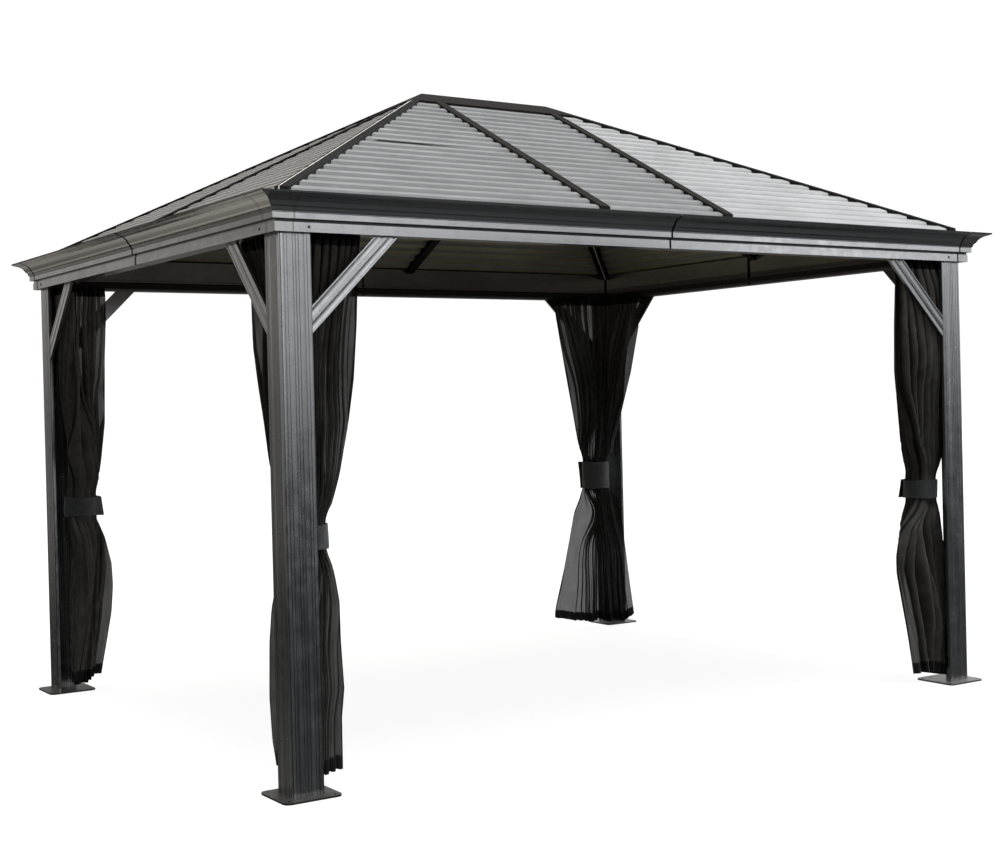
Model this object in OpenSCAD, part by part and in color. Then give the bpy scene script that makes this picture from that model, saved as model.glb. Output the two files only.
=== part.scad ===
// Hard-top metal gazebo: four L-section posts on base plates, a moulded
// cornice beam ring, knee braces, a hipped roof of ribbed steel panels
// between capped rafters, and a tied-back net at each corner.
// Millimetres. +Z up, origin on the ground at the centre of the footprint,
// +X along the long side, -Y is the front.

/* [Footprint] */
// Post outer face to post outer face along X
span_x = 3400; // [2600:10:4400]
// Post outer face to post outer face along Y
span_y = 2710; // [2200:10:3400]
// Height of the underside of the cornice beam
beam_z = 1926; // [1800:1:2300]

/* [Posts] */
// Outer width of each leg of the L-section post
post_w = 118; // [100:1:140]
// Overall thickness of a post leg
leg_t = 14; // [12:0.5:18]
// Wall of the extruded sections
wall = 2; // [1.5:0.1:2.5]
// Width of the notch that runs down the outer corner
notch = 5; // [3:0.5:6]

/* [Base plates] */
// Side of the square base plate
plate_w = 218; // [200:1:260]
// Thickness of the base plate
plate_t = 7; // [5:0.5:10]
// Corner radius of the base plate
plate_r = 26; // [10:1:40]
// Anchor hole spacing
bolt_pitch = 172; // [160:1:180]
// Anchor hole radius
bolt_r = 5.5; // [4:0.5:7]

/* [Braces] */
// Height where the lower edge of a brace meets the post
brace_low = 1583; // [1500:1:1650]
// Vertical height of the brace where it meets the post
brace_v = 95; // [70:1:120]
// Thickness of the brace
brace_t = 12; // [8:0.5:12]

/* [Cornice] */
// Distance from the post's outer face in to the seam of a corner cap
cap_in = 40; // [40:1:80]
// Offset of the middle seam of the long sides from the centre
seam_x = 26; // [0:1:60]
// Offset of the middle seam of the short sides from the centre
seam_y = 38; // [0:1:60]
// Gap at each seam
seam_gap = 5.6; // [1:0.2:8]
// Gap at the two seams of the front left corner cap
close_gap = 1.0; // [1:0.2:8]

/* [Roof] */
// Height of the top of the ridge cap
ridge_z = 2755; // [2600:1:3000]
// Rise of the roof for each unit of run
rise = 0.4986; // [0.4:0.0002:0.55]
// Distance of the panel lower edge inside the post's outer face
eave_in = 8; // [4:1:20]
// Horizontal cover of the ridge cap each side
ridge_cover = 112; // [90:1:140]
// Half width of the hip cap, across the hip
hip_half = 27; // [20:1:50]
// Distance of the middle rafters from the centre line of the roof
rafter_x = 315; // [300:1:330]
// Width of the middle rafters
rafter_w = 44; // [30:1:60]
// Depth of the rafters
rafter_d = 46; // [40:1:60]

/* [Roof panels] */
// Spacing of the ribs, measured level
rib_pitch = 62.4; // [60:0.1:70]
// Depth of a rib, measured plumb
rib_h = 12.5; // [8:0.5:14]
// Thickness of the sheet, measured plumb
sheet_t = 1.6; // [1.2:0.1:2]
// Depth of the crests below the caps
crest_drop = 8; // [5:0.5:12]

/* [Nets] */
// Every list runs front left, front right, back left, back right.
// Distance of the net line inside the post's outer face
net_in = 50; // [48:1:60]
// Reach along X of each gathered net at the top
net_reach_x = [295, 310, 245, 390]; // [200:5:420]
// Reach along Y of each gathered net at the top
net_reach_y = [375, 300, 295, 365]; // [200:5:420]
// How much of that reach is left at a height of 1400
net_fullness = [0.75, 0.84, 0.85, 0.5]; // [0.3:0.01:0.95]
// Inward place of each tie along X
tie_x = [82, 89, 81, 175]; // [80:1:200]
// Inward place of each tie along Y
tie_y = [84, 89, 81, 97]; // [80:1:200]
// Height of the lower edge of each tie
tie_low = [836, 846, 838, 815]; // [700:1:1000]
// Height of the upper edge of each tie
tie_high = [921, 929, 927, 971]; // [750:1:1050]
// Reach along X of the belly below each tie
belly_x = [212, 310, 240, 345]; // [180:1:400]
// Reach along Y of the belly below each tie
belly_y = [290, 212, 215, 215]; // [180:1:400]
// Reach along X of each net at its foot
foot_x = [195, 235, 200, 445]; // [150:1:450]
// Reach along Y of each net at its foot
foot_y = [260, 190, 200, 250]; // [150:1:450]
// Height of the top edge of the nets
net_top = 1934; // [1800:1:1960]
// Height of the bottom edge of the nets
net_foot = 30; // [20:1:60]
// Half side of a tied net inside its strap
tie_half = 79; // [60:1:100]

/* [Hidden] */

hx = span_x / 2;
hy = span_y / 2;
ridge_h = hx - hy;              // half length of the ridge
u_eave = hy - eave_in;          // run from ridge to the panel's lower edge
u_beam = hy - 38.5;             // run from ridge to the beam's inner face
big = 3000;

dark = [0.25, 0.25, 0.24];
frame_col = [0.42, 0.43, 0.43];
sheet_col = [0.66, 0.66, 0.65];
net_col = [0.06, 0.06, 0.06];

// ---------- shared shapes ----------

// A shallow dip between a and b on a face, d deep at its middle
function dip(a, b, d, n = 6) = [for (i = [0:n]) let (t = i / n) [a + (b - a) * t, -d * sin(180 * t)]];
// A square-bottomed groove
function groove(c, w, d) = [[c - w / 2, 0], [c - w / 2 + 0.3, -d], [c + w / 2 - 0.3, -d], [c + w / 2, 0]];
// The fluted face of a post, from the notched corner to the free edge
function face_pts(w) = concat(
    [[notch, 0]],
    dip(notch + 6, w * 0.36, 1.3), groove(w * 0.425, 2.4, 1.4),
    groove(w * 0.512, 2.4, 1.4), groove(w * 0.60, 2.4, 1.4),
    dip(w * 0.665, w - 7, 1.3), [[w - 1.2, 0], [w, -1.2]]);
function swap(p) = [for (q = p) [q[1], q[0]]];
function rev(p) = [for (i = [len(p) - 1:-1:0]) p[i]];
// Local post section: outer corner at 0,0, legs run along +x and +y,
// the outer faces look towards -y and -x.
function down(p) = [for (q = p) [q[0], -q[1]]];
post_pts = concat(
    [[notch, notch]], down(face_pts(post_w)),
    [[post_w, leg_t], [leg_t, leg_t], [leg_t, post_w]],
    rev(swap(down(face_pts(post_w)))));

module post_section() {
    difference() {
        polygon(post_pts);
        // hollow chamber of each leg
        translate([leg_t + 1, wall + 1.5]) square([post_w - leg_t - 1 - wall, leg_t - 2 * wall - 1.5]);
        translate([wall + 1.5, leg_t + 1]) square([leg_t - 2 * wall - 1.5, post_w - leg_t - 1 - wall]);
    }
}

// Places a child, modelled at the front left corner, at another corner
module corner(sx, sy) {
    if (sx > 0 && sy > 0) rotate([0, 0, 180]) children();
    else if (sx > 0) mirror([1, 0, 0]) children();
    else if (sy > 0) mirror([0, 1, 0]) children();
    else children();
}

// ---------- posts, plates, braces ----------

module post(sx, sy) {
    color(frame_col) corner(sx, sy)
        translate([-hx, -hy, plate_t]) linear_extrude(beam_z - plate_t) post_section();
}

module base_plate() {
    c = plate_w / 2 - plate_r;
    translate([-hx + post_w / 2, -hy + post_w / 2, 0]) difference() {
        linear_extrude(plate_t) union() {
            square([plate_w, 2 * c], center = true);
            square([2 * c, plate_w], center = true);
            for (i = [-1, 1], j = [-1, 1]) translate([i * c, j * c]) circle(plate_r, $fn = 48);
        }
        for (i = [-1, 1], j = [-1, 1])
            translate([i * bolt_pitch / 2, j * bolt_pitch / 2, -1])
                cylinder(r = bolt_r, h = plate_t + 2, $fn = 32);
    }
}

module base_plates() {
    color(frame_col) for (i = [-1, 1], j = [-1, 1]) corner(i, j) base_plate();
}

// Cross section of a brace: x across its width, y through its thickness
bw = brace_v * cos(45);
brace_face = concat([[0, -1]], [[1, 0]], dip(5, bw * 0.42, 1.0), groove(bw * 0.465, 2, 1.2),
    groove(bw * 0.535, 2, 1.2), dip(bw * 0.58, bw - 5, 1.0), [[bw - 1, 0], [bw, -1]]);
module brace_section() {
    difference() {
        polygon(concat(brace_face, [[bw, -brace_t], [0, -brace_t]]));
        translate([wall, -brace_t + wall]) square([bw - 2 * wall, brace_t - wall - 3.4]);
    }
}

// One brace in the front plane, from the front left post
module brace() {
    x0 = -hx + post_w;
    difference() {
        translate([x0, -hy + 1, brace_low]) rotate([0, 45, 0]) rotate([0, 0, 180])
            translate([0, 0, -200]) linear_extrude(900) brace_section();
        translate([x0 - 400, -hy - 50, brace_low - 400]) cube([400, 100, 900]);
        translate([x0 - 400, -hy - 50, beam_z]) cube([1200, 100, 400]);
    }
}

// Swaps the front plane and the left plane about the front left corner
module to_side() {
    translate([-hx, -hy, 0]) mirror([1, -1, 0]) translate([hx, hy, 0]) children();
}

module corner_braces() {
    color(frame_col) for (i = [-1, 1], j = [-1, 1]) corner(i, j) {
        brace();
        to_side() brace();
    }
}

// ---------- cornice beams ----------

// Beam section: x is the distance outside the post's outer face, y the
// height above the beam's underside.
cornice_out = [[26.8, 0], [26.8, 32.5], [25.6, 33.3], [23.5, 33.6], [23.5, 42.4], [39.8, 42.8], [39.8, 62.5], [38.5, 64.5],
    [43, 66.5], [45, 73], [47.5, 80], [54, 85], [58, 92], [62, 98.5], [67, 104], [75, 110],
    [86, 115], [98, 119], [104.5, 122], [107, 128], [103.5, 128], [101.3, 123.2]];
beam_sec = concat([[-38, 0]], cornice_out, [[0, 122], [-4, 131], [-38, 148], [-38, 53], [-36.5, 52], [-36.5, 48], [-38, 47]]);
beam_void = [[-34.5, 2.5], [23, 2.5], [22, 30], [20.3, 31], [20.3, 45.6], [36.3, 45.9], [36.3, 67.5], [42.5, 84], [51, 88],
    [60, 101], [66, 107.5], [74.5, 113], [86, 118], [-2, 118], [-6.5, 127.5], [-34.5, 141.5]];

module beam_section() {
    difference() {
        polygon(beam_sec);
        polygon(beam_void);
    }
}
// Runs a section along the front, from x1 to x2
module front_run(x1, x2, u = hy) {
    translate([x2, -u, 0]) rotate([90, 0, -90]) linear_extrude(x2 - x1) children();
}
// Runs a section along the left side, from y1 to y2
module side_run(y1, y2, u = hx) {
    translate([-u, y1, 0]) rotate([90, 0, 180]) linear_extrude(y2 - y1) children();
}

module beam_front(x1, x2) {
    color(frame_col) translate([0, 0, beam_z]) front_run(x1, x2) beam_section();
}
module beam_side(y1, y2) {
    color(frame_col) translate([0, 0, beam_z]) side_run(y1, y2) beam_section();
}
module turn() { rotate([0, 0, 180]) children(); }

module beam_fl() { beam_front(-hx + cap_in + seam_gap / 2, -seam_x - seam_gap / 2); }
module beam_fr() { beam_front(-seam_x + seam_gap / 2, hx - cap_in - seam_gap / 2); }
module beam_lf() { beam_side(-hy + cap_in + seam_gap / 2, -seam_y - seam_gap / 2); }
module beam_lb() { beam_side(-seam_y + seam_gap / 2, hy - cap_in - seam_gap / 2); }

module cap_wing(g) {
    e = cap_in + seam_gap / 2 - g;
    intersection() {
        translate([0, 0, beam_z]) front_run(-hx - 150, -hx + e) beam_section();
        translate([-hx, -hy, beam_z - 10]) linear_extrude(200)
            polygon([[-160, -160], [e, -160], [e, e]]);
    }
}
module corner_cap(sx, sy, g = seam_gap) {
    color(frame_col) corner(sx, sy) {
        cap_wing(g);
        to_side() cap_wing(g);
    }
}

module splice() { translate([-32, 5]) square([50, 24]); }
module beam_splices() {
    color(dark) for (r = [0, 180]) rotate([0, 0, r]) translate([0, 0, beam_z]) {
        front_run(-seam_x - 60, -seam_x + 60) splice();
        side_run(-seam_y - 60, -seam_y + 60) splice();
    }
}

// Curtain track on the inner face of the beam: a channel open below
module track_section() {
    translate([-62, 10]) difference() {
        square([24, 26]);
        translate([2, 2]) square([20, 22]);
        translate([8, -1]) square([8, 4]);
    }
}
module curtain_rails() {
    color(dark) for (r = [0, 180]) rotate([0, 0, r]) translate([0, 0, beam_z]) {
        front_run(-hx + 39, hx - 39) track_section();
        side_run(-hy + 64, hy - 64) track_section();
    }
}

// ---------- roof frame ----------

// Solid under a hipped surface that lies d below the top of the caps
module hip_solid(d, e = 0) {
    z0 = ridge_z - d;
    b = 1700 + e;
    intersection() {
        translate([-b - 600, 0, 0]) rotate([90, 0, 90]) linear_extrude(2 * b + 1200)
            polygon([[-b, z0 - 1000 - e], [b, z0 - 1000 - e], [b, z0 - rise * b], [0, z0], [-b, z0 - rise * b]]);
        translate([0, b + 600, 0]) rotate([90, 0, 0]) linear_extrude(2 * b + 1200)
            polygon([[-b - ridge_h, z0 - 1000 - e], [b + ridge_h, z0 - 1000 - e], [b + ridge_h, z0 - rise * b],
                [ridge_h, z0], [-ridge_h, z0], [-b - ridge_h, z0 - rise * b]]);
    }
}
module shell(d1, d2) {
    difference() { hip_solid(d1); hip_solid(d2, 60); }
}
// Column over the part of the plan within run u of the ridge
module within(u) {
    translate([-ridge_h - u, -u, 1800]) cube([2 * (ridge_h + u), 2 * u, 1100]);
}
// Column over a strip along the front left hip
module hip_strip(half, start = 61) {
    translate([-ridge_h, 0, 1800]) rotate([0, 0, 225]) translate([start, -half, 0])
        cube([2200, 2 * half, 1100]);
}
// Column over a strip square to the eave, on the front or the left
module front_strip(x, half, start = 61) {
    translate([x - half, -2000, 1800]) cube([2 * half, 2000 - start, 1100]);
}
module side_strip(half, start = 86) {
    translate([-ridge_h - 2000, -half, 1800]) cube([2000 - start, 2 * half, 1100]);
}
cap_d = crest_drop + rib_h + 2;
// kind 0: hip, 1: front rafter, 2: side rafter
module strip(kind, inset) {
    if (kind == 0) hip_strip(hip_half - inset, 61 - 10 * inset);
    else if (kind == 1) front_strip(-rafter_x, rafter_w / 2 - inset, 61 - 10 * inset);
    else side_strip(rafter_w / 2 - inset, 86 - 10 * inset);
}
module roof_bar(kind) {
    difference() {
        union() {
            intersection() { shell(0, rafter_d); strip(kind, 0); within(u_beam); }
            intersection() { shell(0, cap_d); strip(kind, 0); within(u_eave); }
        }
        // room under the ridge cap
        intersection() { hip_solid(-5, 60); within(ridge_cover + 0.6); difference() { translate([-3000, -2000, 1700]) cube([6000, 4000, 1200]); hip_solid(crest_drop, 120); } }
        // hollow
        intersection() { shell(cap_d + 2.5, rafter_d - 2.5); strip(kind, 3); }
    }
}

module hip_rafter(sx, sy) { color(dark) corner(sx, sy) roof_bar(0); }
module rafter_pair() {
    color(dark) { roof_bar(1); mirror([1, 0, 0]) roof_bar(1); }
}
module rafter_side() { color(dark) roof_bar(2); }

module ridge_beam() {
    color(dark) union() {
        for (i = [-1, 1]) intersection() {
            translate([i * ridge_h, 0, 2600]) cylinder(r = 60, h = 200, $fn = 64);
            shell(crest_drop + 1, 58);
        }
        difference() {
            translate([-ridge_h + 20, -18, ridge_z - 68]) cube([2 * ridge_h - 40, 36, 50]);
            for (i = [-1, 1]) translate([i * ridge_h, 0, 2600]) cylinder(r = 58, h = 200, $fn = 64);
            translate([-ridge_h - 40, -15, ridge_z - 65]) cube([2 * ridge_h + 80, 30, 44]);
        }
    }
}
module ridge_cap() {
    color(dark) intersection() { shell(0, crest_drop - 1); within(ridge_cover); }
}

// ---------- roof panels ----------

function zc(u) = ridge_z - rise * u - crest_drop;
panel_top = 60;
rib_count = floor((u_eave - 10 - 35 - panel_top) / rib_pitch) + 1;
function ribs(dz) = concat([[panel_top, zc(panel_top) - rib_h - dz]],
    [for (k = [rib_count - 1:-1:0]) let (b = u_eave - 10 - k * rib_pitch)
        each [[b - 35, zc(b - 35) - rib_h - dz], [b - 27, zc(b - 27) - dz], [b - 3, zc(b - 3) - dz], [b, zc(b) - rib_h - dz]]],
    [[u_eave, zc(u_eave) - rib_h - dz]]);
sheet_sec = concat(ribs(0), rev(ribs(sheet_t)));
module sheet_section() { polygon(sheet_sec); }

fit = 0.4;
hb = (hip_half + fit) * sqrt(2);
rx = rafter_x + rafter_w / 2 + fit;
ry = rafter_w / 2 + fit;

module panel_front_middle() {
    m = rafter_x - rafter_w / 2 - fit;
    color(sheet_col) front_run(-m, m, 0) sheet_section();
}
module panel_front_left() {
    color(sheet_col) intersection() {
        front_run(-ridge_h - 1400, -rx, 0) sheet_section();
        translate([0, 0, 1800]) linear_extrude(1100) polygon([[-ridge_h + hb - panel_top, -panel_top],
            [-rx + 50, -panel_top], [-rx + 50, -1500], [-ridge_h + hb - 1500, -1500]]);
    }
}
module panel_left_front() {
    color(sheet_col) intersection() {
        side_run(-1450, -ry, ridge_h) sheet_section();
        translate([0, 0, 1800]) linear_extrude(1100) polygon([[-ridge_h - hb - ry + 50, -ry + 50],
            [-ridge_h - 1500, -ry + 50], [-ridge_h - 1500, hb - 1500]]);
    }
}

// ---------- nets ----------

// Ring of a gathered net in plan: two arms along the sides, joined at the corner.
// lx, ly are the outer sides, ex, ey the reach along X and Y, w the width of an arm.
function ring(z, lx, ly, ex, ey, w) = [[ex, ly, z], [ex, ly + w, z], [lx + w, ly + w, z], [lx + w, ey, z], [lx, ey, z], [lx, ly, z]];
function mix(p, q, t) = p + (q - p) * t;
// A ring above the tie: t is the share of the way from the tie's reach out to the top's,
// g the share of the way from the tie's outer side out to the net line.
function upper(k, z, t, g, w) = let (cx = tie_x[k], cy = tie_y[k])
    ring(z, mix(cx - tie_half, -30, g), mix(cy - tie_half, -30, g),
        mix(cx + tie_half, net_reach_x[k], t), mix(cy + tie_half, net_reach_y[k], t), w);
function lower(k, z, t, g, w) = let (cx = tie_x[k], cy = tie_y[k])
    ring(z, mix(cx - tie_half, -28, g), mix(cy - tie_half, -28, g),
        mix(cx + tie_half, belly_x[k], t), mix(cy + tie_half, belly_y[k], t), w);
function net_rings(k) = let (f = net_fullness[k]) [
    ring(net_foot, -28, -28, foot_x[k], foot_y[k], 125), lower(k, 480, 1, 0.9, 145), lower(k, 690, 0.7, 0.5, 150),
    lower(k, tie_low[k] - 4, 0, 0, 150), upper(k, tie_high[k] + 4, 0, 0, 150),
    upper(k, 1110, f * f * 0.65, 0.3, 145), upper(k, 1400, f, 0.7, 115),
    upper(k, 1700, mix(f, 1, 0.6), 0.95, 85), upper(k, net_top, 1, 1, 62)];
module net(k, sx, sy) {
    r = net_rings(k);
    n = len(r);
    pts = [for (q = r) each q];
    sides = [for (k = [0:n - 2], i = [0:5]) let (j = (i + 1) % 6)
        each [[6 * k + i, 6 * (k + 1) + i, 6 * (k + 1) + j], [6 * k + i, 6 * (k + 1) + j, 6 * k + j]]];
    foot = [[0, 1, 2], [0, 2, 5], [2, 3, 4], [2, 4, 5]];
    top = [for (t = foot) [6 * (n - 1) + t[0], 6 * (n - 1) + t[2], 6 * (n - 1) + t[1]]];
    color(net_col) corner(sx, sy) translate([-hx + net_in, -hy + net_in, 0])
        polyhedron(points = pts, faces = concat(sides, foot, top));
}
module net_tie(k) {
    translate([-hx + net_in + tie_x[k], -hy + net_in + tie_y[k], tie_low[k]]) linear_extrude(tie_high[k] - tie_low[k])
        difference() {
            square(2 * tie_half + 14, center = true);
            square(2 * tie_half + 6, center = true);
        }
}
module net_ties() {
    color(net_col) for (i = [0, 1], j = [0, 1]) corner(2 * i - 1, 2 * j - 1) net_tie(i + 2 * j);
}

// ---------- assembly ----------

post(-1, -1);  // post_front_left
post(1, -1);  // post_front_right
post(-1, 1);  // post_back_left
post(1, 1);  // post_back_right
base_plates();
corner_braces();
beam_fl();  // beam_front_left
beam_fr();  // beam_front_right
turn() beam_fr();  // beam_back_left
turn() beam_fl();  // beam_back_right
beam_lf();  // beam_left_front
beam_lb();  // beam_left_back
turn() beam_lb();  // beam_right_front
turn() beam_lf();  // beam_right_back
corner_cap(-1, -1, close_gap);  // corner_cap_front_left
corner_cap(1, -1);  // corner_cap_front_right
corner_cap(-1, 1);  // corner_cap_back_left
corner_cap(1, 1);  // corner_cap_back_right
beam_splices();
curtain_rails();
hip_rafter(-1, -1);  // hip_rafter_front_left
hip_rafter(1, -1);  // hip_rafter_front_right
hip_rafter(-1, 1);  // hip_rafter_back_left
hip_rafter(1, 1);  // hip_rafter_back_right
rafter_pair();  // rafters_front
turn() rafter_pair();  // rafters_back
rafter_side();  // rafter_left
turn() rafter_side();  // rafter_right
ridge_beam();
ridge_cap();
panel_front_left();  // roof_panel_front_left
panel_front_middle();  // roof_panel_front_middle
mirror([1, 0, 0]) panel_front_left();  // roof_panel_front_right
mirror([0, 1, 0]) panel_front_left();  // roof_panel_back_left
turn() panel_front_middle();  // roof_panel_back_middle
turn() panel_front_left();  // roof_panel_back_right
panel_left_front();  // roof_panel_left_front
mirror([0, 1, 0]) panel_left_front();  // roof_panel_left_back
mirror([1, 0, 0]) panel_left_front();  // roof_panel_right_front
turn() panel_left_front();  // roof_panel_right_back
net(0, -1, -1);  // net_front_left
net(1, 1, -1);  // net_front_right
net(2, -1, 1);  // net_back_left
net(3, 1, 1);  // net_back_right
net_ties();
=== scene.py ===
# Looks of the metal gazebo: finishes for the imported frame, and the pleated nets, ties, hooks,
# screws and sheet laps that the frame leaves to the visual model. Metres, in the frame of the CAD.
import bpy, math
import numpy as np
from mathutils import Matrix, Vector


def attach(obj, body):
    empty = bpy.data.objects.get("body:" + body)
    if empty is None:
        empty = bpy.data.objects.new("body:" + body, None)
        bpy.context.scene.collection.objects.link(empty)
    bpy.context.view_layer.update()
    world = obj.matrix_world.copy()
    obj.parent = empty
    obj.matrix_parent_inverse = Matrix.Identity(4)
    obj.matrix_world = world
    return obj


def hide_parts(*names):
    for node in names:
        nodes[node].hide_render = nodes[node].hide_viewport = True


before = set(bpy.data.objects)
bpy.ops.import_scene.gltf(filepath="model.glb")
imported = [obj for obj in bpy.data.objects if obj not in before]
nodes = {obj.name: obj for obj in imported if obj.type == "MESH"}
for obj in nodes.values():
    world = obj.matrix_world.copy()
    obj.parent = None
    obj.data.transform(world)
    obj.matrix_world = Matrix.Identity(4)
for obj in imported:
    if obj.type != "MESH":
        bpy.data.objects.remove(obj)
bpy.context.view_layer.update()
scene = bpy.context.scene

# ---------------------------------------------------------------- camera
F, CX, CY, W, H = 1555.95, 539.04, 413.84, 1000.0, 858.0
yaw, pitch, roll = math.radians(34.1736), math.radians(-0.4678), math.radians(-1.3692)
fwd = Vector((math.sin(yaw) * math.cos(pitch), math.cos(yaw) * math.cos(pitch), math.sin(pitch)))
rt = Vector((math.cos(yaw), -math.sin(yaw), 0.0))
up = rt.cross(fwd)
r_ax = rt * math.cos(roll) + up * math.sin(roll)
u_ax = -rt * math.sin(roll) + up * math.cos(roll)
cam_data = bpy.data.cameras.new("camera")
cam = bpy.data.objects.new("camera", cam_data)
scene.collection.objects.link(cam)
cam.matrix_world = Matrix((
    (r_ax.x, u_ax.x, -fwd.x, -3.9378), (r_ax.y, u_ax.y, -fwd.y, -6.1884), (r_ax.z, u_ax.z, -fwd.z, 1.3334), (0, 0, 0, 1)))
cam_data.sensor_width, cam_data.sensor_fit = 36.0, "HORIZONTAL"
cam_data.lens = 36.0 * F / W
cam_data.shift_x = (W / 2 - CX) / W
cam_data.shift_y = (CY - H / 2) / W
cam_data.clip_start, cam_data.clip_end = 0.05, 200.0
scene.camera = cam


# ---------------------------------------------------------------- node helpers
class Nodes:
    """A material or world node tree with short names for the nodes used here."""

    def __init__(self, tree):
        self.t, self.x = tree, 0

    def add(self, kind, **settings):
        n = self.t.nodes.new("ShaderNode" + kind)
        self.x += 180
        n.location = (self.x, 0)
        for k, v in settings.items():
            setattr(n, k, v)
        return n

    def link(self, a, b):
        self.t.links.new(a, b)

    def put(self, socket, value):
        if isinstance(value, bpy.types.NodeSocket):
            self.link(value, socket)
        else:
            socket.default_value = value

    def math(self, op, a, b=0.0, c=0.0, clamp=False):
        n = self.add("Math", operation=op, use_clamp=clamp)
        for i, v in enumerate((a, b, c)):
            self.put(n.inputs[i], v)
        return n.outputs[0]

    def remap(self, v, a0, a1, b0, b1, smooth=False):
        n = self.add("MapRange", interpolation_type="SMOOTHSTEP" if smooth else "LINEAR")
        for i, s in enumerate((v, a0, a1, b0, b1)):
            self.put(n.inputs[i], s)
        return n.outputs[0]

    def mix(self, f, a, b, kind="MIX"):
        n = self.add("Mix", data_type="RGBA", blend_type=kind)
        self.put(n.inputs[0], f)
        for s, v in ((n.inputs[6], a), (n.inputs[7], b)):
            self.put(s, v if isinstance(v, bpy.types.NodeSocket) else (*v[:3], 1.0))
        return n.outputs[2]

    def blend(self, f, a, b):
        n = self.add("Mix", data_type="FLOAT")
        for i, v in ((0, f), (2, a), (3, b)):
            self.put(n.inputs[i], v)
        return n.outputs[0]

    def noise(self, vec, scale, detail=3.0, rough=0.5, stretch=None):
        if stretch:
            m = self.add("Mapping")
            m.inputs["Scale"].default_value = stretch
            self.link(vec, m.inputs["Vector"])
            vec = m.outputs[0]
        n = self.add("TexNoise")
        self.link(vec, n.inputs["Vector"])
        n.inputs["Scale"].default_value = scale
        n.inputs["Detail"].default_value = detail
        n.inputs["Roughness"].default_value = rough
        return n.outputs[0]

    def ramp(self, v, stops):
        n = self.add("ValToRGB")
        self.put(n.inputs[0], v)
        e = n.color_ramp.elements
        for i, (p, c) in ((0, stops[0]), (1, stops[-1])):
            e[i].position, e[i].color = p, (*c, 1.0)
        for p, c in stops[1:-1]:
            e.new(p).color = (*c, 1.0)
        return n.outputs[0]

    def bump(self, height, strength, distance, normal=None):
        n = self.add("Bump")
        self.link(height, n.inputs["Height"])
        n.inputs["Strength"].default_value = strength
        n.inputs["Distance"].default_value = distance
        if normal is not None:
            self.link(normal, n.inputs["Normal"])
        return n.outputs[0]


def material(name):
    m = bpy.data.materials.new(name)
    m.use_nodes = True
    m.node_tree.nodes.clear()
    g = Nodes(m.node_tree)
    p = g.add("BsdfPrincipled")
    out = g.add("OutputMaterial")
    g.link(p.outputs[0], out.inputs[0])
    return m, g, p, out


def object_coords(g):
    return g.add("TexCoord").outputs["Object"]


def xyz(g, vec):
    n = g.add("SeparateXYZ")
    g.link(vec, n.inputs[0])
    return n.outputs


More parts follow.
